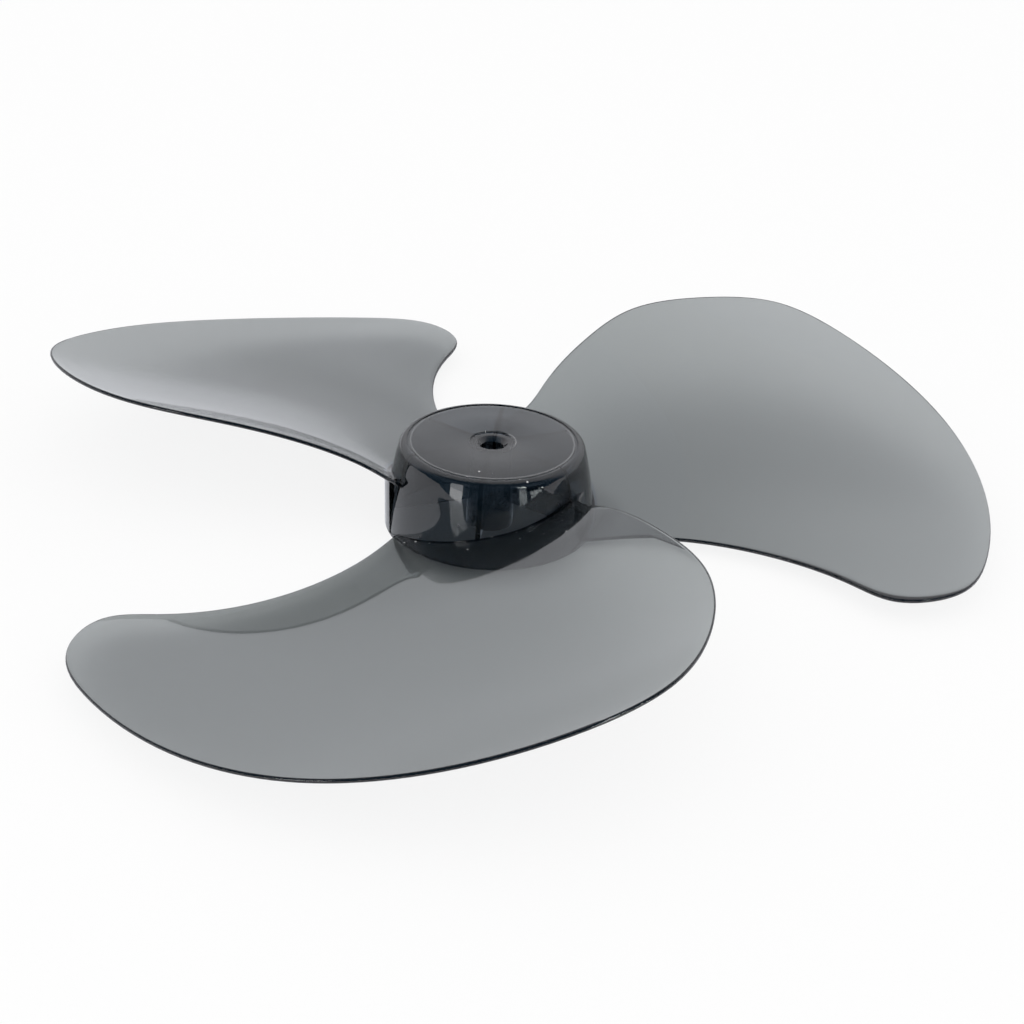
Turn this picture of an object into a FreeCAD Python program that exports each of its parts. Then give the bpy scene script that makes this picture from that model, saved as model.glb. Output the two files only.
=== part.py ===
"""Three-bladed pedestal fan blade, moulded in one piece. All lengths in mm.

The shaft axis is Z and the open back of the hub stands on Z = 0, so the air leaves
towards +Z. Angles run anticlockwise from +X as seen from +Z, and the fan turns
clockwise as seen from there.
"""
import FreeCAD
import Part

import math
import os

from FreeCAD import Vector

# Hub shell
HUB_HEIGHT = 34.2
HUB_BASE_RADIUS = 40.6
HUB_MID_RADIUS = 39.0
HUB_TOP_RADIUS = 35.3
SHOULDER_RADIUS = 1.8
WALL = 2.2
FACE_RADIUS = 31.7
GROOVE_WIDTH = 1.0
GROOVE_DEPTH = 0.4

# Skirts that carry the blade roots outside the hub shell
SKIRT_PROUD = 0.3
SKIRT_DRAFT = 0.4
SKIRT_ANGLE = 202.0

# Boss, ribs and shaft seat
BORE_RADIUS = 4.05
BOSS_RADIUS = 9.0
RIB_THICKNESS = 1.8
RIB_BOTTOM = 12.0
RIB_ANGLE = 204.9
RECESS_RADIUS = 8.7
RECESS_DEPTH = 0.7
SINK_RADIUS = 6.0
SINK_DEPTH = 1.6
PIN_SLOT_WIDTH = 2.7
PIN_SLOT_DEPTH = 6.0

# Blade layout
BLADE_COUNT = 3
TIP_RADIUS = 200.0
BLADE_THICKNESS = 1.6
ROOT_ANGLE = 211.0
CLOSING_ANGLE = 10.0

# Blade form: heights of a low and a high guide line at four stations from the
# hub (0) to the tip (1), the angle between the lines and the camber across them
STATIONS = (0.0, 0.31, 0.655, 1.0)
LOW_HEIGHTS = (3.0, 1.5, 7.4, 11.9)
HIGH_HEIGHTS = (25.7, 47.6, 50.6, 57.6)
TIP_SPAN_ANGLE = 80.0
ROOT_CAMBER_RATIO = -0.02
TIP_CAMBER_RATIO = 1.54

# Blade outline from the high end of the root round the tip to the low end:
# share of the way from the hub to the tip, angle from the root angle
OUTLINE_ANGLES = (
    (0.000, 119.0),
    (0.027, 107.5),
    (0.132, 100.8),
    (0.350, 96.4),
    (0.559, 92.5),
    (0.760, 84.8),
    (0.897, 76.6),
    (0.956, 66.8),
    (1.000, 46.6),
    (0.929, 19.0),
    (0.868, 10.7),
    (0.739, 6.7),
    (0.639, 9.1),
    (0.508, 12.9),
    (0.349, 15.5),
    (0.150, 13.6),
    (0.000, 0.3),
)

# Derived sizes
AXIS = Vector(0, 0, 1)
CENTRE = Vector(0, 0, 0)
ROOT_SPAN_ANGLE = 360.0 / BLADE_COUNT
ROOT_RADIUS = HUB_BASE_RADIUS + SKIRT_PROUD
CAVITY_RADIUS = HUB_BASE_RADIUS - WALL
STEP_ANGLE = math.degrees(WALL / ROOT_RADIUS)
RIB_COUNT = 2 * BLADE_COUNT
PIN_SLOT_ANGLE = RIB_ANGLE + 180.0 / RIB_COUNT
TALL = 4.0 * HUB_HEIGHT


def polar(radius, angle, height=0.0):
    """Point at a radius, an angle in degrees and a height."""
    turn = math.radians(angle)
    return Vector(radius * math.cos(turn), radius * math.sin(turn), height)


def span_radius(share):
    """Radius at a share of the way from the hub to the tip."""
    return ROOT_RADIUS + (TIP_RADIUS - ROOT_RADIUS) * share


def between_stations(values, share):
    """Smooth value at a share of the span from its four station values."""
    total = 0.0
    for here, value in zip(STATIONS, values):
        for other in STATIONS:
            if other != here:
                value *= (share - other) / (here - other)
        total += value
    return total


def sheet_point(share, across):
    """Point on a blade's upper surface, across = 0 on the low guide line and 1 on the high one."""
    low = between_stations(LOW_HEIGHTS, share)
    high = between_stations(HIGH_HEIGHTS, share)
    camber = ROOT_CAMBER_RATIO + (TIP_CAMBER_RATIO - ROOT_CAMBER_RATIO) * share
    span = ROOT_SPAN_ANGLE + (TIP_SPAN_ANGLE - ROOT_SPAN_ANGLE) * share
    rise = across + camber * (across * across - across)
    return polar(span_radius(share), ROOT_ANGLE + span * across, low + (high - low) * rise)


def blade_sheet():
    """Upper surface of the first blade, a little larger than its outline."""
    shares = [-0.06 + 1.08 * row / 7 for row in range(8)]
    acrosses = [-0.12 + 1.2 * column / 10 for column in range(11)]
    surface = Part.BSplineSurface()
    surface.interpolate([[sheet_point(share, across) for across in acrosses] for share in shares])
    return surface.toShape()


def outline_prism():
    """Upright prism on the blade's outline, closed inside the hub."""
    points = [polar(span_radius(share), ROOT_ANGLE + angle, -TALL / 4) for share, angle in OUTLINE_ANGLES]
    edge = Part.BSplineCurve()
    edge.interpolate(points)
    ends = (CLOSING_ANGLE, ROOT_SPAN_ANGLE - CLOSING_ANGLE)
    inner = [polar(CAVITY_RADIUS / 2, ROOT_ANGLE + angle, -TALL / 4) for angle in ends]
    closing = Part.makePolygon([points[-1], inner[0], inner[1], points[0]])
    face = Part.Face(Part.Wire([edge.toShape()] + closing.Edges))
    return face.extrude(AXIS * TALL)


def blade(sheet):
    """First blade, of even thickness along the axis."""
    return sheet.extrude(AXIS * -BLADE_THICKNESS).common(outline_prism())


def below(sheet, drop):
    """Everything under a blade's upper surface, lowered by a drop."""
    solid = sheet.extrude(AXIS * -TALL)
    solid.translate(AXIS * -drop)
    return solid


def sector(inner, base, top, start, end):
    """Ring sector as tall as the hub, upright inside and tapered outside."""
    corners = [
        Vector(inner, 0, 0),
        Vector(base, 0, 0),
        Vector(top, 0, HUB_HEIGHT),
        Vector(inner, 0, HUB_HEIGHT),
    ]
    solid = Part.Face(Part.makePolygon(corners + corners[:1])).revolve(CENTRE, AXIS, end - start)
    solid.rotate(CENTRE, AXIS, start)
    return solid


def around(shape, count=BLADE_COUNT):
    """Equally spaced copies of a shape about the shaft axis."""
    copies = []
    for index in range(count):
        copy = shape.copy()
        copy.rotate(CENTRE, AXIS, index * 360.0 / count)
        copies.append(copy)
    return copies


def passes(edge, radius, height):
    """True for a circle about the axis with this radius and height."""
    if not isinstance(edge.Curve, Part.Circle):
        return False
    return abs(edge.Curve.Radius - radius) < 0.01 and abs(edge.Curve.Center.z - height) < 0.01


def tapered_cup(inset, height, rounding):
    """Tapered hub form with a rounded shoulder, inset from the hub's outside."""
    base = Vector(HUB_BASE_RADIUS - inset, 0, 0)
    middle = Vector(HUB_MID_RADIUS - inset, 0, height / 2)
    top = Vector(HUB_TOP_RADIUS - inset, 0, height)
    wall = Part.Arc(base, middle, top).toShape()
    rest = Part.makePolygon([top, Vector(0, 0, height), CENTRE, base])
    solid = Part.Face(Part.Wire([wall] + rest.Edges)).revolve(CENTRE, AXIS, 360)
    rim = [edge for edge in solid.Edges if passes(edge, top.x, height)]
    return solid.makeFillet(rounding, rim)


def skirt(sheet):
    """Wall under the first blade's root, drafted towards the back."""
    ring = sector(CAVITY_RADIUS / 2, ROOT_RADIUS, ROOT_RADIUS + SKIRT_DRAFT,
                  SKIRT_ANGLE, SKIRT_ANGLE + ROOT_SPAN_ANGLE)
    return ring.common(below(sheet, BLADE_THICKNESS / 2))


def pocket(sheet):
    """Hollow behind the first skirt that keeps its wall even."""
    ring = sector(CAVITY_RADIUS / 2, ROOT_RADIUS - WALL, ROOT_RADIUS - WALL,
                  SKIRT_ANGLE + STEP_ANGLE, SKIRT_ANGLE + ROOT_SPAN_ANGLE - STEP_ANGLE)
    return ring.common(below(sheet, BLADE_THICKNESS / 2 + WALL))


def core():
    """Boss, level with the hub's back, and radial ribs."""
    boss = Part.makeCylinder(BOSS_RADIUS, TALL)
    rib = Part.makeBox(HUB_BASE_RADIUS, RIB_THICKNESS, TALL, Vector(0, -RIB_THICKNESS / 2, RIB_BOTTOM))
    rib.rotate(CENTRE, AXIS, RIB_ANGLE)
    return boss.fuse(around(rib, RIB_COUNT))


def hollow(sheet):
    """Space inside the hub, open at the back, around the boss and the ribs."""
    space = tapered_cup(WALL, HUB_HEIGHT - WALL, SHOULDER_RADIUS / 2).fuse(around(pocket(sheet)))
    return space.cut(core())


def shaft_seat():
    """Bore with its countersink and shallow recess in front and a cross slot at the back."""
    bore = Part.makeCylinder(BORE_RADIUS, TALL)
    recess = Part.makeCylinder(RECESS_RADIUS, TALL, Vector(0, 0, HUB_HEIGHT - RECESS_DEPTH))
    sink = Part.makeCone(BORE_RADIUS, SINK_RADIUS, SINK_DEPTH,
                         Vector(0, 0, HUB_HEIGHT - RECESS_DEPTH - SINK_DEPTH))
    corner = Vector(-BOSS_RADIUS, -PIN_SLOT_WIDTH / 2, 0)
    slot = Part.makeBox(2 * BOSS_RADIUS, PIN_SLOT_WIDTH, PIN_SLOT_DEPTH, corner)
    slot.rotate(CENTRE, AXIS, PIN_SLOT_ANGLE)
    return bore.fuse([recess, sink, slot])


def face_groove():
    """Shallow ring groove round the hub's flat face."""
    floor = Vector(0, 0, HUB_HEIGHT - GROOVE_DEPTH)
    ring = Part.makeCylinder(FACE_RADIUS + GROOVE_WIDTH, GROOVE_DEPTH, floor)
    return ring.cut(Part.makeCylinder(FACE_RADIUS, GROOVE_DEPTH, floor))


def fan_blade():
    """The whole moulding."""
    sheet = blade_sheet()
    hub = tapered_cup(0, HUB_HEIGHT, SHOULDER_RADIUS).fuse(around(skirt(sheet)))
    body = hub.removeSplitter().fuse(around(blade(sheet)))
    body = body.cut(hollow(sheet)).cut(shaft_seat()).cut(face_groove())
    return body.removeSplitter()


os.makedirs("parts", exist_ok=True)
moulding = fan_blade()
moulding.exportStep("parts/fan_blade.step")
print("fan_blade", moulding.isValid(), len(moulding.Solids), round(moulding.Volume, 1))
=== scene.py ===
# %% [markdown]
# A pedestal fan blade, moulded in one piece from smoke-tinted clear plastic: a hub
# like an upturned cup with three wide, twisted blades. The imported CAD solid gives the
# exact form and place. It is loaded first.

# %% Load the frame
import math

import bmesh
import bpy
import numpy as np
from mathutils import Matrix, Vector
from mathutils.geometry import interpolate_bezier


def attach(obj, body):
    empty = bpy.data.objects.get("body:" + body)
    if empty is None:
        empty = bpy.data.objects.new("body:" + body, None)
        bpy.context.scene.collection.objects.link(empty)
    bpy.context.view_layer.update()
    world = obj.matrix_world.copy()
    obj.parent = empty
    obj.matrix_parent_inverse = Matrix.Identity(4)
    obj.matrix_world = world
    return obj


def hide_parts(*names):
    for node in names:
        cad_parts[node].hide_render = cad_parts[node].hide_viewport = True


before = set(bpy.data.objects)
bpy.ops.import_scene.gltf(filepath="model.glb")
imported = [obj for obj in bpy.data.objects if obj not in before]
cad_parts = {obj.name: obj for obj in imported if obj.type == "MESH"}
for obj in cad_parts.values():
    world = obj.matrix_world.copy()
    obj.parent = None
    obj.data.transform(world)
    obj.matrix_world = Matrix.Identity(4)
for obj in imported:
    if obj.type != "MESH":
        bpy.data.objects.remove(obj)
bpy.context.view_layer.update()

# %% [markdown]
# Clear plastic shows every dent in a surface, because it mirrors and bends the light.
# The CAD mesh is made of long thin triangles with square edges, good for measuring but
# poor as a mirror. So the moulding is modelled again from the same sizes, as an even
# grid of quads with rounded edges. Work goes on in millimetres and is scaled to metres
# at the end, because the cutting tool likes sizes near one better than tiny ones.

# %% Sizes of a blade in millimetres
ROOT_RADIUS, TIP_RADIUS = 40.9, 200.0
ROOT_ANGLE, BLADE_COUNT = 211.0, 3
BLADE_THICKNESS, WALL = 1.6, 2.2
STATIONS = (0.0, 0.31, 0.655, 1.0)
LOW_HEIGHTS = (3.0, 1.5, 7.4, 11.9)
HIGH_HEIGHTS = (25.7, 47.6, 50.6, 57.6)
ROOT_SPAN, TIP_SPAN = 120.0, 80.0
ROOT_CAMBER, TIP_CAMBER = -0.02, 1.54


def at_share(values, share):
    """Smooth value at a share of the span, through its four station values."""
    total = 0.0
    for here, value in zip(STATIONS, values):
        for other in STATIONS:
            if other != here:
                value *= (share - other) / (here - other)
        total += value
    return total


def blade_height(radius, angle):
    """Height of a blade's front face, at an angle counted from the blade's root."""
    share = (radius - ROOT_RADIUS) / (TIP_RADIUS - ROOT_RADIUS)
    low, high = at_share(LOW_HEIGHTS, share), at_share(HIGH_HEIGHTS, share)
    camber = ROOT_CAMBER + (TIP_CAMBER - ROOT_CAMBER) * share
    across = angle / (ROOT_SPAN + (TIP_SPAN - ROOT_SPAN) * share)
    return low + (high - low) * (across + camber * (across * across - across))


def polar(radius, angle, height=0.0):
    """Point at a radius, an angle in degrees and a height."""
    turn = math.radians(angle)
    return Vector((radius * math.cos(turn), radius * math.sin(turn), height))


print("blade height at the root, low and high:", round(blade_height(ROOT_RADIUS, 0), 1),
      round(blade_height(ROOT_RADIUS, ROOT_SPAN), 1))

# %% [markdown]
# Seen from the front, a blade's edge runs out from the high end of the root, round the
# broad tip and back along the hollow edge to the low end. Bezier segments join the
# points. Their handles come from one small set of sums, which asks that the bend is the
# same on both sides of every point, so that the edge flows without a kink, as a bent
# spline does. The radius only grows on the way out and only shrinks on the way back, so
# at each radius the blade is a single sweep of angle from one edge to the other.

# %% Edge curve of a blade
OUTLINE = (
    (0.000, 119.0), (0.027, 107.5), (0.132, 100.8), (0.350, 96.4), (0.559, 92.5),
    (0.760, 84.8), (0.897, 76.6), (0.956, 66.8), (1.000, 46.6), (0.929, 19.0),
    (0.868, 10.7), (0.739, 6.7), (0.639, 9.1), (0.508, 12.9), (0.349, 15.5),
    (0.150, 13.6), (0.000, 0.3),
)
EDGE_ROUND, SEGMENT_POINTS = 0.6, 40


def flowing_slopes(knots):
    """Slope at every knot and length of every segment of an evenly bending curve."""
    steps = [b - a for a, b in zip(knots, knots[1:])]
    lengths = [step.length for step in steps]
    last = len(steps)
    bend, pull = np.zeros((last + 1, last + 1)), np.zeros((last + 1, 3))
    bend[0, :2], pull[0] = (2, 1), 3 * steps[0] / lengths[0]
    bend[last, last - 1:], pull[last] = (1, 2), 3 * steps[-1] / lengths[-1]
    for i in range(1, last):
        before, after = lengths[i - 1], lengths[i]
        bend[i, i - 1:i + 2] = 1 / before, 2 / before + 2 / after, 1 / after
        pull[i] = 3 * (steps[i - 1] / before ** 2 + steps[i] / after ** 2)
    return [Vector(slope) for slope in np.linalg.solve(bend, pull)], lengths


def edge_curve(inset):
    """Radius and angle along the blade's edge, moved in from it by an inset."""
    span = TIP_RADIUS - ROOT_RADIUS
    knots = [polar(ROOT_RADIUS + span * share, ROOT_ANGLE + angle) for share, angle in OUTLINE]
    slopes, lengths = flowing_slopes(knots)
    curve = []
    for i, length in enumerate(lengths):
        first = knots[i] + slopes[i] * length / 3
        second = knots[i + 1] - slopes[i + 1] * length / 3
        curve += interpolate_bezier(knots[i], first, second, knots[i + 1], SEGMENT_POINTS)[:-1]
    moved = []
    for before, here, after in zip(curve, curve[1:], curve[2:]):
        along = (after - before).normalized()
        moved.append(here + Vector((along.y, -along.x, 0)) * inset)
    return np.array([(p.length, math.degrees(math.atan2(p.y, p.x)) % 360) for p in moved])


inner_edge = edge_curve(EDGE_ROUND)
tip = int(inner_edge[:, 0].argmax())
out_side, back_side = inner_edge[:tip + 1], inner_edge[tip:][::-1]
print("edge points:", len(inner_edge), "reach in mm:", round(inner_edge[tip, 0], 2))

# %% [markdown]
# The edges of a moulded blade are softly rounded. A Bevel modifier could do that, but it
# bends the flat next to the edge a little, and a mirror shows it. Here the open edge of
# the front sheet is extruded ring by ring instead, out and down round a small radius.
# Each point moves straight away from the sheet, seen from the front.

# %% Rounded rim and finished mesh
def away_from_sheet(vert):
    """Level direction that leaves the sheet at a point of its open edge."""
    near = [e.other_vert(vert).co for e in vert.link_edges if e.is_boundary]
    along = near[1] - near[0]
    away = Vector((along.y, -along.x, 0)).normalized()
    faces = vert.link_faces
    inside = sum((f.calc_center_median() for f in faces), Vector()) / len(faces)
    return away if away.dot(vert.co - inside) > 0 else -away


def round_rim(bm, rings):
    """Extrudes the open edge of a sheet through rings, each a way out and a way down."""
    rim_edges = [e for e in bm.edges if e.is_boundary]
    rim_verts = {v for e in rim_edges for v in e.verts}
    rim = {vert: (vert.co.copy(), away_from_sheet(vert)) for vert in rim_verts}
    for out, down in rings:
        made = bmesh.ops.extrude_edge_only(bm, edges=rim_edges)["geom"]
        moved = {}
        for vert in (g for g in made if isinstance(g, bmesh.types.BMVert)):
            others = (e.other_vert(vert) for e in vert.link_edges)
            start, away = next(rim[other] for other in others if other in rim)
            vert.co = start + away * out - Vector((0, 0, down))
            moved[vert] = (start, away)
        rim = moved
        made_edges = (g for g in made if isinstance(g, bmesh.types.BMEdge))
        rim_edges = [e for e in made_edges if set(e.verts) <= set(rim)]


def make_object(name, bm):
    """Puts a finished bmesh into the scene as an object."""
    bmesh.ops.recalc_face_normals(bm, faces=bm.faces)
    mesh = bpy.data.meshes.new(name)
    bm.to_mesh(mesh)
    bm.free()
    made = bpy.data.objects.new(name, mesh)
    bpy.context.scene.collection.objects.link(made)
    return made


turns = [math.radians(t) for t in (30, 60, 90)]
edge_rings = [(EDGE_ROUND * math.sin(t), EDGE_ROUND * (1 - math.cos(t))) for t in turns]
edge_rings += [(out, BLADE_THICKNESS - down) for out, down in edge_rings[::-1]]
edge_rings += [(0.0, BLADE_THICKNESS)]
print("rings round an edge:", len(edge_rings))

# %% [markdown]
# A blade is a sheet of even thickness. A plain grid is the simplest start: one direction
# of it runs from root to tip, the other from edge to edge, and each point is carried to
# its radius, angle and height. The rows lie closer together near the root and the tip,
# where the edge turns fastest. The root ends inside the hub's wall. After the rim is
# made, a copy of the sheet closes the back.

# %% Three blades
HUB_BASE, HUB_MIDDLE, HUB_TOP, HUB_HEIGHT = 40.6, 39.0, 35.3, 34.2
ROWS, COLUMNS = 110, 48
TIP_GAP = 0.02
MERGE = 0.0005


def hub_radius(height):
    """Outside radius of the hub's bellied wall at a height."""
    share = height / HUB_HEIGHT
    return (HUB_BASE * (1 - share) * (1 - 2 * share) + 4 * HUB_MIDDLE * share * (1 - share)
            + HUB_TOP * share * (2 * share - 1))


def turn_about_axis(bm, angle):
    """Turns a whole bmesh about the shaft axis by an angle in degrees."""
    turn = Matrix.Rotation(math.radians(angle), 3, "Z")
    bmesh.ops.rotate(bm, matrix=turn, verts=bm.verts)


def points_of(geometry):
    """The points among the pieces that an operator returns."""
    return [g for g in geometry if isinstance(g, bmesh.types.BMVert)]


def make_blade(index):
    """A closed blade, turned to its place round the hub."""
    bm = bmesh.new()
    bmesh.ops.create_grid(bm, x_segments=COLUMNS, y_segments=ROWS, size=0.5)
    for vert in bm.verts:
        across = vert.co.x + 0.5
        along = 0.5 - 0.5 * math.cos(math.pi * (vert.co.y + 0.5))
        root = hub_radius(blade_height(ROOT_RADIUS, ROOT_SPAN * across)) - WALL / 2
        radius = root + (inner_edge[tip, 0] - TIP_GAP - root) * along
        low = np.interp(radius, back_side[:, 0], back_side[:, 1])
        high = np.interp(radius, out_side[:, 0], out_side[:, 1])
        angle = low + (high - low) * across
        vert.co = polar(radius, angle, blade_height(radius, angle - ROOT_ANGLE))
    front = list(bm.faces)
    round_rim(bm, edge_rings)
    back = bmesh.ops.duplicate(bm, geom=front)["geom"]
    bmesh.ops.translate(bm, vec=(0, 0, -BLADE_THICKNESS), verts=points_of(back))
    bmesh.ops.remove_doubles(bm, verts=bm.verts, dist=MERGE)
    turn_about_axis(bm, index * 360 / BLADE_COUNT)
    return make_object(f"blade_{index + 1}", bm)


blades = [make_blade(index) for index in range(BLADE_COUNT)]
print("faces in a blade:", len(blades[0].data.polygons))

# %% [markdown]
# The hub is a turned form: a cup with its open end at the back, a fine groove round its
# flat face, a boss for the motor shaft in its middle, and a shallow recess with a sunk
# edge round the shaft hole. A spin of half its section makes all of that at once. The
# section is drawn with a few points, its corners are rounded with a vertex bevel, and
# then it goes once round.

# %% Hub
FACE_RADIUS, GROOVE_WIDTH, GROOVE_DEPTH = 31.7, 1.0, 0.4
RECESS_RADIUS, RECESS_DEPTH = 8.7, 0.7
SINK_RADIUS, SINK_DEPTH = 6.0, 1.6
BORE_RADIUS, BOSS_RADIUS = 4.05, 9.0
INNER_HEIGHT = HUB_HEIGHT - WALL
WALL_PARTS, HUB_STEPS = 10, 180


def hub_section():
    """Half section of the hub: radius, height and rounding of every corner."""
    levels = [HUB_HEIGHT * i / WALL_PARTS for i in range(WALL_PARTS + 1)]
    wall = [[hub_radius(z), z, 0] for z in levels]
    lining = [[hub_radius(z) - WALL, INNER_HEIGHT * i / WALL_PARTS, 0]
              for i, z in enumerate(levels)][::-1]
    wall[0][2], wall[-1][2], lining[0][2], lining[-1][2] = 0.4, 2.2, 0.68, 0.4
    groove_floor, seat = HUB_HEIGHT - GROOVE_DEPTH, HUB_HEIGHT - RECESS_DEPTH
    return wall + [
        [FACE_RADIUS + GROOVE_WIDTH, HUB_HEIGHT, 0.22],
        [FACE_RADIUS + GROOVE_WIDTH, groove_floor, 0.15],
        [FACE_RADIUS, groove_floor, 0.15],
        [FACE_RADIUS, HUB_HEIGHT, 0.22],
        [RECESS_RADIUS, HUB_HEIGHT, 0.3],
        [RECESS_RADIUS, seat, 0.2],
        [SINK_RADIUS, seat, 0.3],
        [BORE_RADIUS, seat - SINK_DEPTH, 0.2],
        [BORE_RADIUS, 0.0, 0.3],
        [BOSS_RADIUS, 0.0, 0.4],
        [BOSS_RADIUS, INNER_HEIGHT, 1.2],
    ] + lining


def make_hub():
    """The cup with its boss and shaft hole, as one closed turned form."""
    section = hub_section()
    bm = bmesh.new()
    verts = [bm.verts.new((r, 0, z)) for r, z, rounding in section]
    bm.faces.new(verts)
    corners = [(vert, rounding) for vert, (r, z, rounding) in zip(verts, section) if rounding]
    for vert, rounding in corners[1:] + corners[:1]:
        bmesh.ops.bevel(bm, geom=[vert], offset=rounding, affect="VERTICES",
                        segments=8 if rounding > 1 else 4, profile=0.5, material=-1,
                        clamp_overlap=True)
    bmesh.ops.delete(bm, geom=bm.faces[:], context="FACES_ONLY")
    bmesh.ops.spin(bm, geom=bm.verts[:] + bm.edges[:], cent=(0, 0, 0), axis=(0, 0, 1),
                   angle=math.tau, steps=HUB_STEPS, use_merge=True)
    bmesh.ops.remove_doubles(bm, verts=bm.verts, dist=MERGE)
    return make_object("fan_moulding", bm)


moulding = make_hub()
print("faces in the hub:", len(moulding.data.polygons))

# %% [markdown]
# Under each blade the hub's wall stands a little further out, as a skirt that carries
# the blade's root down to the back. Behind it the wall keeps its thickness, so there is
# a pocket of the same form inside. Both are sectors of a ring: a small square is spun
# through a third of a turn, and then its upper corners are lifted to follow the blade.

# %% Skirts and pockets
STEP_ANGLE = math.degrees(WALL / ROOT_RADIUS)
SKIRT_START, SKIRT_DRAFT, SKIRT_OVERLAP = -9.0, 0.4, 0.1
POCKET_INNER, POCKET_BOTTOM = 30.0, -3.0
SECTOR_STEPS = 60


def make_sector(name, index, start, end, section):
    """A ring sector whose section gives inner and outer radius and height at an angle."""
    bm = bmesh.new()
    square = ((1, 0, 0), (2, 0, 0), (2, 0, 1), (1, 0, 1))
    face = bm.faces.new([bm.verts.new(p) for p in square])
    bmesh.ops.spin(bm, geom=[face] + face.edges[:] + face.verts[:], cent=(0, 0, 0),
                   axis=(0, 0, 1), angle=math.radians(end - start), steps=SECTOR_STEPS,
                   use_merge=False)
    bmesh.ops.remove_doubles(bm, verts=bm.verts, dist=MERGE)
    bmesh.ops.holes_fill(bm, edges=[e for e in bm.edges if e.is_boundary], sides=4)
    for vert in bm.verts:
        turn = math.degrees(math.atan2(vert.co.y, vert.co.x)) % 360
        angle = start + (turn if turn < 359 else turn - 360)
        inner, outer, height = section(angle, vert.co.z > 0.5)
        vert.co = polar(inner if vert.co.to_2d().length < 1.5 else outer,
                        ROOT_ANGLE + angle + index * ROOT_SPAN, height)
    return make_object(f"{name}_{index + 1}", bm)


def skirt_section(angle, top):
    """From inside the hub's wall to the drafted outside, up to the middle of the blade."""
    height = blade_height(ROOT_RADIUS, angle) - BLADE_THICKNESS / 2 if top else 0.0
    outer = ROOT_RADIUS + SKIRT_DRAFT * height / HUB_HEIGHT
    return hub_radius(height) - WALL / 2, outer, height


def pocket_section(angle, top):
    """Upright, one wall inside the skirt and one wall below its top."""
    height = POCKET_BOTTOM
    if top:
        height = blade_height(ROOT_RADIUS, angle) - BLADE_THICKNESS / 2 - WALL
    return POCKET_INNER, ROOT_RADIUS - WALL, height


SKIRT_END = SKIRT_START + ROOT_SPAN
skirts = [make_sector("skirt", index, SKIRT_START, SKIRT_END + SKIRT_OVERLAP, skirt_section)
          for index in range(BLADE_COUNT)]
pockets = [make_sector("pocket", index, SKIRT_START + STEP_ANGLE, SKIRT_END - STEP_ANGLE,
                       pocket_section)
           for index in range(BLADE_COUNT)]
print("skirts and pockets:", len(skirts), len(pockets))

# %% [markdown]
# Six thin ribs hang under the hub's front and run from the boss to the wall. They show
# through the front as darker bands. Each is a flat outline extruded to its thickness. At
# the back of the boss a slot across the hole takes the pin of the motor shaft.

# %% Ribs and pin slot
RIB_COUNT, RIB_THICKNESS, RIB_START = 6, 1.8, -6.1
RIB_INNER, RIB_BOTTOM, RIB_TOP, RIB_PARTS = 7.5, 12.0, 32.8, 4
PIN_SLOT_SIZE, PIN_SLOT_CENTRE = (18.8, 2.7, 7.0), 2.5
RIB_SPACING = 360 / RIB_COUNT


def make_rib(index):
    """A flat rib, its outer end inside the bellied wall and its top inside the front."""
    levels = [RIB_BOTTOM + (RIB_TOP - RIB_BOTTOM) * i / RIB_PARTS for i in range(RIB_PARTS + 1)]
    wall_end = [(hub_radius(z) - WALL / 2, z) for z in levels]
    outline = [(RIB_INNER, RIB_BOTTOM)] + wall_end + [(RIB_INNER, RIB_TOP)]
    bm = bmesh.new()
    face = bm.faces.new([bm.verts.new((r, -RIB_THICKNESS / 2, z)) for r, z in outline])
    side = bmesh.ops.extrude_face_region(bm, geom=[face], use_keep_orig=True)["geom"]
    bmesh.ops.translate(bm, vec=(0, RIB_THICKNESS, 0), verts=points_of(side))
    turn_about_axis(bm, ROOT_ANGLE + RIB_START + index * RIB_SPACING)
    return make_object(f"rib_{index + 1}", bm)


def make_pin_slot():
    """The space of the slot across the back of the boss."""
    bm = bmesh.new()
    bmesh.ops.create_cube(bm, size=1)
    bmesh.ops.scale(bm, vec=PIN_SLOT_SIZE, verts=bm.verts)
    bmesh.ops.translate(bm, vec=(0, 0, PIN_SLOT_CENTRE), verts=bm.verts)
    turn_about_axis(bm, ROOT_ANGLE + RIB_START + RIB_SPACING / 2)
    return make_object("pin_slot", bm)


ribs = [make_rib(index) for index in range(RIB_COUNT)]
pin_slot = make_pin_slot()
print("ribs:", len(ribs))

# %% [markdown]
# Light that goes through clear plastic turns at every surface, so hidden walls where two
# solids overlap would show as false seams. The Boolean modifier welds all pieces into
# one skin and takes the pockets and the slot away. The exact solver is the safe one for
# the hub's flat joints. The manifold solver is far quicker and does well for the blades,
# which are closed and only cross the wall.

# %% Weld into one skin
def weld(base, operation, tools, solver="EXACT"):
    """Joins tools to a base or cuts them from it, and removes them."""
    group = bpy.data.collections.new("tools")
    bpy.context.scene.collection.children.link(group)
    for tool in tools:
        bpy.context.scene.collection.objects.unlink(tool)
        group.objects.link(tool)
    step = base.modifiers.new(operation.lower(), "BOOLEAN")
    step.operation, step.operand_type = operation, "COLLECTION"
    step.collection, step.solver = group, solver
    bpy.context.view_layer.update()
    depsgraph = bpy.context.evaluated_depsgraph_get()
    mesh = bpy.data.meshes.new_from_object(base.evaluated_get(depsgraph))
    base.modifiers.remove(step)
    base.data = mesh
    for tool in tools:
        bpy.data.objects.remove(tool)
    bpy.data.collections.remove(group)


weld(moulding, "UNION", skirts)
weld(moulding, "DIFFERENCE", pockets + [pin_slot])
weld(moulding, "UNION", ribs)
weld(moulding, "UNION", blades, solver="MANIFOLD")
print("faces in the welded skin:", len(moulding.data.polygons))

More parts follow.
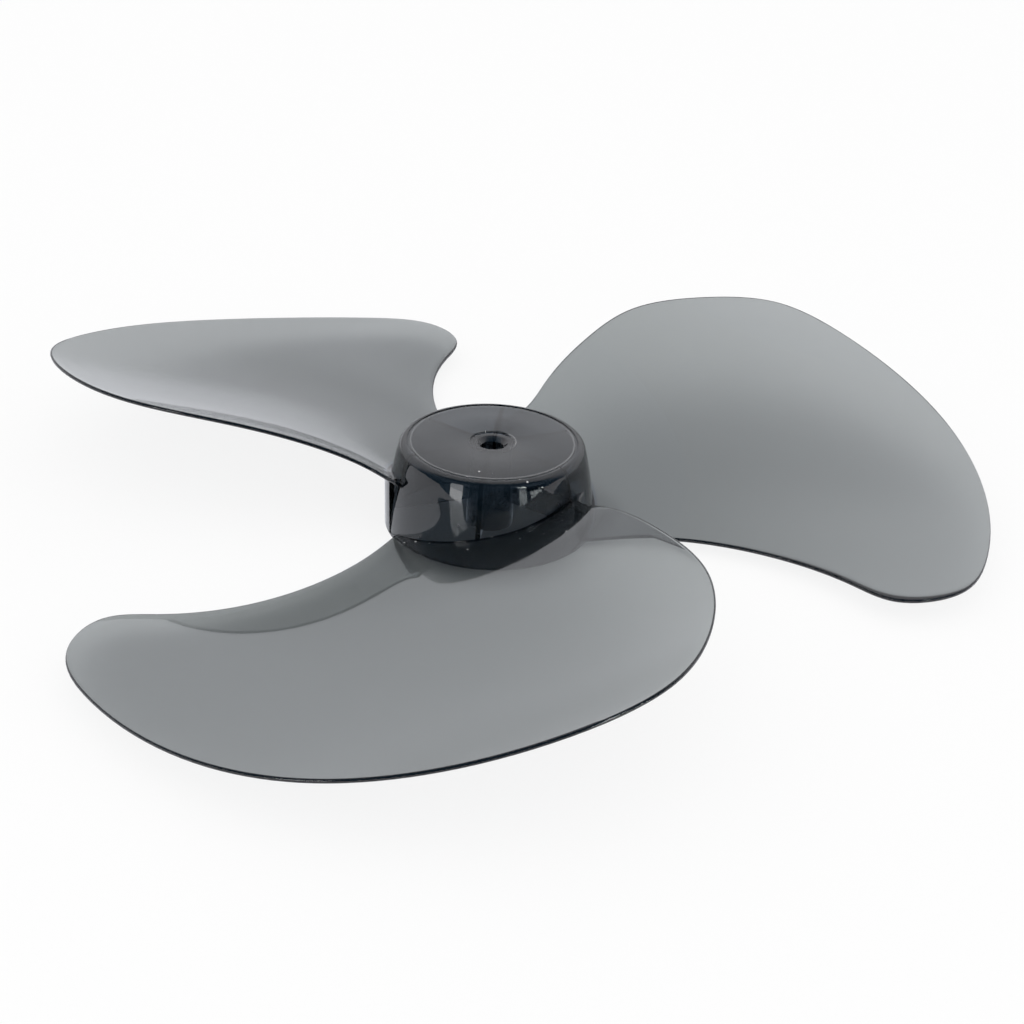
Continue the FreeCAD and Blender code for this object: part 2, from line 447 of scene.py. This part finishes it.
# %% [markdown]
# Cutting leaves points that nearly touch, and a mirror shows those as scratches. They are
# merged, the piece is scaled to metres, and it is shaded smooth all over except along
# true edges. Then it takes the place of the CAD solid, on the part's one body.

# %% Clean, scale and hand over
CUT_MERGE, SHARP_ANGLE, METRES = 0.002, 35, 0.001
bm = bmesh.new()
bm.from_mesh(moulding.data)
bmesh.ops.remove_doubles(bm, verts=bm.verts, dist=CUT_MERGE)
bmesh.ops.dissolve_degenerate(bm, edges=bm.edges, dist=CUT_MERGE)
print("open edges left:", sum(not e.is_manifold for e in bm.edges),
      "volume in cm3:", round(bm.calc_volume() / 1000, 1))
bmesh.ops.scale(bm, vec=(METRES, METRES, METRES), verts=bm.verts)
bm.to_mesh(moulding.data)
bm.free()
moulding.data.shade_smooth()
moulding.data.set_sharp_from_angle(angle=math.radians(SHARP_ANGLE))
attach(moulding, "root")
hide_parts("fan_blade")
print("faces in the moulding:", len(moulding.data.polygons))

# %% [markdown]
# The camera stands where the photograph was taken from: in front of the fan, nearly 29
# degrees up, turned a little about its own line of sight. Its place and lens were worked
# out beforehand, by laying the outlines of the three equal blades over the picture.

# %% Camera
ELEVATION, ROLL = 0.498786, 0.0492343
CAMERA_PLACE = (0.008755, -0.558601, 0.307858)
SENSOR, FOCAL_PIXELS, IMAGE_PIXELS = 36.0, 1624.968, 1024
ahead = Vector((0, math.cos(ELEVATION), -math.sin(ELEVATION)))
level_up = Vector((0, math.sin(ELEVATION), math.cos(ELEVATION)))
right = Vector((1, 0, 0)) * math.cos(ROLL) + level_up * math.sin(ROLL)
up = Vector((-1, 0, 0)) * math.sin(ROLL) + level_up * math.cos(ROLL)
view = bpy.data.cameras.new("camera")
view.sensor_width, view.lens = SENSOR, SENSOR * FOCAL_PIXELS / IMAGE_PIXELS
view.clip_start, view.clip_end = 0.01, 30
camera = bpy.data.objects.new("camera", view)
rows = zip(right, up, -ahead, CAMERA_PLACE)
camera.matrix_world = Matrix([*rows, (0, 0, 0, 1)])
bpy.context.scene.collection.objects.link(camera)
bpy.context.scene.camera = camera
print("lens in mm:", round(view.lens, 2))

# %% [markdown]
# Shader sums read best as sums. A small class wraps a socket, so that + - and * add Math
# nodes, and one method makes any other node from its type, settings and inputs. Three
# short methods stand for the nodes that come up most: a ramp between two values, a test
# against a limit and a blend of two colours.

# %% Shader helper
class Wire:
    """A shader socket that can be used in sums."""

    def __init__(self, tree, socket=None):
        self.tree, self.socket = tree, socket

    def node(self, kind, settings=None, sockets=None, out=0):
        """Adds a node: first its settings, then the values or links of its sockets."""
        made = self.tree.nodes.new(kind)
        for name, value in (settings or {}).items():
            setattr(made, name, value)
        for name, value in (sockets or {}).items():
            if isinstance(value, Wire):
                self.tree.links.new(value.socket, made.inputs[name])
            else:
                made.inputs[name].default_value = value
        return Wire(self.tree, made.outputs[out] if made.outputs else None)

    def math(self, operation, first, second):
        return self.node("ShaderNodeMath", {"operation": operation}, {0: first, 1: second})

    def __add__(self, other):
        return self.math("ADD", self, other)

    def __sub__(self, other):
        return self.math("SUBTRACT", self, other)

    def __rsub__(self, other):
        return self.math("SUBTRACT", other, self)

    def __mul__(self, other):
        return self.math("MULTIPLY", self, other)

    __radd__, __rmul__ = __add__, __mul__

    def over(self, limit):
        """1 above a limit, otherwise 0."""
        return self.math("GREATER_THAN", self, limit)

    def ramp(self, low, high):
        """0 at low to 1 at high, eased at both ends."""
        return self.node("ShaderNodeMapRange", {"interpolation_type": "SMOOTHSTEP"},
                         {"Value": self, "From Min": low, "From Max": high})

    def blend(self, none, full):
        """One colour where this is 0, another where it is 1."""
        return self.node("ShaderNodeMix", {"data_type": "RGBA"},
                         {"Factor": self, "A": none, "B": full}, out="Result")


def new_material(name):
    """An empty node material and a Wire to build it with."""
    made = bpy.data.materials.new(name)
    made.use_nodes = True
    made.node_tree.nodes.clear()
    return made, Wire(made.node_tree)


print("shader helper ready")

# %% [markdown]
# The plastic is clear with a smoky dye in it. A Principled shader with full transmission
# gives the gloss and the bending of the light. The dye is a Volume Absorption inside the
# skin, so that thick places and edges come out darker by themselves, as they do in the
# real moulding. The hub's base colour is painted darker and bluer than its wall alone
# would make it, as painted shade for the dark inside of the closed hub. The blades get
# painted shade near the root, by the hub, and grow paler towards their tips, so the base
# colour follows the distance from the axis. A soft cloud keeps that change from looking
# ruled. Smudges of grease blur the gloss a bit.

# %% Smoke plastic
HUB_SHADED_TINT = (0.48, 0.52, 0.58, 1)
ROOT_SHADED_TINT, TIP_TINT = (0.61, 0.63, 0.63, 1), (0.95, 0.955, 0.96, 1)
SMOKE, SMOKE_DENSITY = (0.515, 0.54, 0.545, 1), 1000.0
PLASTIC_IOR = 1.57

plastic, w = new_material("smoke_plastic")
place = w.node("ShaderNodeTexCoord", out="Object")
flat = w.node("ShaderNodeVectorMath", {"operation": "MULTIPLY"}, {0: place, 1: (1, 1, 0)})
radius = w.node("ShaderNodeVectorMath", {"operation": "LENGTH"}, {0: flat}, out="Value") * 1000
cloud = w.node("ShaderNodeTexNoise", None, {
    "Vector": place, "Scale": 14.0, "Detail": 3.0, "Roughness": 0.55})
smudge = w.node("ShaderNodeTexNoise", None, {
    "Vector": place, "Scale": 38.0, "Detail": 5.0, "Roughness": 0.6})
reach = radius.ramp(20, 220) + 0.12 * (cloud - 0.5)
# Painted shade: the hub and the blade roots get a darker base colour than the tips.
shaded_tint = radius.ramp(41.3, 42.3).blend(HUB_SHADED_TINT, reach.blend(ROOT_SHADED_TINT, TIP_TINT))
grease = smudge.ramp(0.58, 0.75)
clear = w.node("ShaderNodeBsdfPrincipled", None, {
    "Base Color": shaded_tint, "Roughness": 0.02 + 0.06 * grease, "IOR": PLASTIC_IOR,
    "Transmission Weight": 1.0})
smoke = w.node("ShaderNodeVolumeAbsorption", None, {"Color": SMOKE, "Density": SMOKE_DENSITY})
print("nodes in the clear plastic:", len(plastic.node_tree.nodes))

# %% [markdown]
# A used spare part isn't spotless. A few grains of dust lie on the front of the hub and
# next to it. Two thin rings are painted highlights: one round the edge of the shaft recess,
# and a thin pale line on the edge of the flat face. All three are a matt, pale powder that
# is mixed in by a mask: grains from a cell pattern, thinned out by the smudges, and rings
# from the distance to the axis. Distances are in millimetres.

# %% Dust and painted highlights
DUST_AND_HIGHLIGHT_POWDER = (0.75, 0.75, 0.76, 1)
DUST_SHARE, RECESS_HIGHLIGHT_SHARE, RIM_HIGHLIGHT_SHARE = 0.85, 0.35, 0.16

speck = w.node("ShaderNodeTexVoronoi", None, {"Vector": place, "Scale": 160.0}, out="Distance")
front = w.node("ShaderNodeSeparateXYZ", None, {0: place}, out="Y") * -1000
grains = (1 - speck.ramp(0.06, 0.08)) * smudge.over(0.40)
dust = grains * front.ramp(18, 30) * (1 - radius.ramp(50, 75))
# Painted highlight: a thin bright ring on the edge of the shaft recess.
recess_highlight = radius.ramp(8.5, 8.8) * (1 - radius.ramp(9.0, 9.4)) * smudge.ramp(0.35, 0.6)
# Painted highlight: a thin pale line on the rounded edge of the flat face.
rim = radius.ramp(30.8, 31.2) * (1 - radius.ramp(31.6, 32.0))
dust_and_highlight_powder = w.node("ShaderNodeBsdfPrincipled", None, {"Base Color": DUST_AND_HIGHLIGHT_POWDER, "Roughness": 0.7})
# Real dust, and painted highlights on the two rings, all mixed in as one pale powder.
dust_and_highlight_cover = DUST_SHARE * dust + RECESS_HIGHLIGHT_SHARE * recess_highlight + RIM_HIGHLIGHT_SHARE * rim
skin = w.node("ShaderNodeMixShader", None, {0: dust_and_highlight_cover, 1: clear, 2: dust_and_highlight_powder})
w.node("ShaderNodeOutputMaterial", None, {"Surface": skin, "Volume": smoke})
moulding.data.materials.clear()
moulding.data.materials.append(plastic)
print("nodes in the whole finish:", len(plastic.node_tree.nodes))

# %% [markdown]
# The fan lies on white paper that bends up into a backdrop: a grid with one edge extruded
# upwards and the corner bevelled round. The paper ends a little way in front of the fan,
# out of the picture. Beyond its edge the room is dark, and the hub's steep wall mirrors
# that, which is what makes it look almost black.

# %% Floor and backdrop
FLOOR_HALF, FLOOR_FRONT, FLOOR_BACK, FLOOR_DROP = 4, -0.30, 2.0, 0.0003
BACKDROP_HEIGHT, BEND_SIZE, BEND_PARTS = 3, 0.8, 16

bm = bmesh.new()
bmesh.ops.create_grid(bm, x_segments=1, y_segments=1, size=FLOOR_HALF)
bmesh.ops.translate(bm, vec=(0, FLOOR_BACK - FLOOR_HALF, -FLOOR_DROP), verts=bm.verts)
for vert in bm.verts:
    vert.co.y = max(vert.co.y, FLOOR_FRONT)
far = [e for e in bm.edges if all(v.co.y > FLOOR_BACK - 0.1 for v in e.verts)]
wall = bmesh.ops.extrude_edge_only(bm, edges=far)["geom"]
bmesh.ops.translate(bm, vec=(0, 0, BACKDROP_HEIGHT), verts=points_of(wall))
bmesh.ops.bevel(bm, geom=far, offset=BEND_SIZE, affect="EDGES", segments=BEND_PARTS,
                profile=0.5, material=-1)
floor = make_object("floor", bm)
floor.data.shade_smooth()
print("floor laid, faces:", len(floor.data.polygons))

# %% [markdown]
# The paper has to be white in the picture and still keep the fan's soft shadow, so it is
# a mix of a matt white and a glow. The Light Path node tells what kind of ray has come:
# straight from the camera it is nearly all glow, by way of a mirror a little less and
# cooler, and through the plastic much less. That drop is painted shade for paper that
# lies under a dark blade and under the closed hub, and the painted shade grows weaker
# towards the right, where the room is brighter. Mirrored rays see a painted darker band
# half way up the backdrop. Distances are in metres.

# %% White paper
PAPER, WHITE = (0.85, 0.85, 0.85, 1), (1, 1, 1, 1)
MIRRORED_WHITE, MIRRORED_SHADE = (1.0, 1.02, 1.09, 1), (0.68, 0.6936, 0.7412, 1)
CAMERA_GLOW, MIRRORED_GLOW, UNDER_HUB_GLOW = 0.86, 0.78, 0.10

paper, w = new_material("white_paper")
through = w.node("ShaderNodeLightPath", out="Is Transmission Ray")
mirrored = w.node("ShaderNodeLightPath", out="Is Glossy Ray") - through
straight = w.node("ShaderNodeLightPath", out="Is Camera Ray")
spot = w.node("ShaderNodeTexCoord", out="Object")
middle = w.node("ShaderNodeVectorMath", {"operation": "LENGTH"}, {0: spot}, out="Value")
side, back, tall = (w.node("ShaderNodeSeparateXYZ", None, {0: spot}, out=axis) for axis in "XYZ")
# Painted shade: the glow seen through the plastic drops near the axis and is painted lighter
# towards the right.
painted_right_light = side.ramp(0.04, 0.15) * (1 - back.ramp(0, 0.06))
painted_shade_level = 0.35 + 0.30 * side - 0.05 * back.ramp(0, 0.10) + 0.11 * painted_right_light
painted_under_shade = UNDER_HUB_GLOW + painted_shade_level * middle.ramp(0.036, 0.060)
lift = CAMERA_GLOW * straight + MIRRORED_GLOW * mirrored + painted_under_shade * through
# Painted shade: mirrored rays see a darker band half way up the backdrop.
painted_shade_band = tall.ramp(0.02, 0.25) * (1 - tall.ramp(0.5, 0.9))
glow_colour = mirrored.blend(WHITE, painted_shade_band.blend(MIRRORED_WHITE, MIRRORED_SHADE))
matt = w.node("ShaderNodeBsdfDiffuse", None, {"Color": PAPER})
glow = w.node("ShaderNodeEmission", None, {"Color": glow_colour})
sheet = w.node("ShaderNodeMixShader", None, {0: lift, 1: matt, 2: glow})
w.node("ShaderNodeOutputMaterial", None, {"Surface": sheet})
floor.data.materials.append(paper)
print("nodes in the paper:", len(paper.node_tree.nodes))

# %% [markdown]
# An even white sky gives the soft studio light that falls on the paper. What the glossy
# plastic mirrors is another matter: a bright side behind the fan, and a dim, bluish room
# in front of it. So matt surfaces and the camera see white, and mirrored rays see a room
# that goes from dim to bright with the direction they take.

# %% Room light
DIM_ROOM, BRIGHT_ROOM = (0.09, 0.17, 0.26, 1), (0.98, 1.0, 1.07, 1)
SOFT_WHITE = (1.1, 1.1, 1.1, 1)

world = bpy.data.worlds.new("studio")
bpy.context.scene.world = world
world.use_nodes = True
world.node_tree.nodes.clear()
w = Wire(world.node_tree)
direction = w.node("ShaderNodeTexCoord", out="Generated")
way, height = (w.node("ShaderNodeSeparateXYZ", None, {0: direction}, out=axis) for axis in "YZ")
seen = w.node("ShaderNodeLightPath", out="Is Camera Ray")
soft = w.node("ShaderNodeLightPath", out="Is Diffuse Ray")
room = (way + height * 0.25).ramp(-0.1, 0.5).blend(DIM_ROOM, BRIGHT_ROOM)
sky = w.node("ShaderNodeBackground", None, {
    "Color": soft.blend(seen.blend(room, WHITE), SOFT_WHITE)})
w.node("ShaderNodeOutputWorld", None, {"Surface": sky})
print("nodes in the room:", len(world.node_tree.nodes))

# %% [markdown]
# Four soft lamps make the upright bands of light on the hub's wall. A lamp is seen in the
# wall where the wall's outward direction halves the angle between lamp and camera, which
# gives each lamp its bearing and its width. The strips hang below the level of the paper,
# because the wall looks down at them, and there they stay out of the flat blades when the
# fan is seen from behind. The screen reaches the lower wall by way of the front blade.

# %% Lamps
LAMPS = {
    "left_strip": ((-0.76, -0.99, -0.3), (0.33, 0.6), 2.6),
    "left_screen": ((-0.76, -0.99, 0.19), (0.33, 0.38), 1.0),
    "right_strip": ((1.008, -0.732, -0.16), (0.35, 0.32), 3.5),
    "window": ((0.75, -0.995, 0.06), (0.19, 0.72), 3.95),
}


def soft_lamp(name, place, size, power):
    """An upright lamp that faces the shaft axis, hidden from the camera."""
    lamp = bpy.data.lights.new(name, "AREA")
    lamp.shape, lamp.energy = "RECTANGLE", power
    lamp.size, lamp.size_y = size
    made = bpy.data.objects.new(name, lamp)
    made.location = place
    made.rotation_mode = "QUATERNION"
    made.rotation_quaternion = Vector((-place[0], -place[1], 0)).to_track_quat("-Z", "Y")
    made.visible_camera = False
    bpy.context.scene.collection.objects.link(made)


for name, (lamp_place, size, power) in LAMPS.items():
    soft_lamp(name, lamp_place, size, power)

# %% [markdown]
# The Standard view shows colours as they are written.

# %% Settings and end
bpy.context.scene.view_settings.view_transform = "Standard"
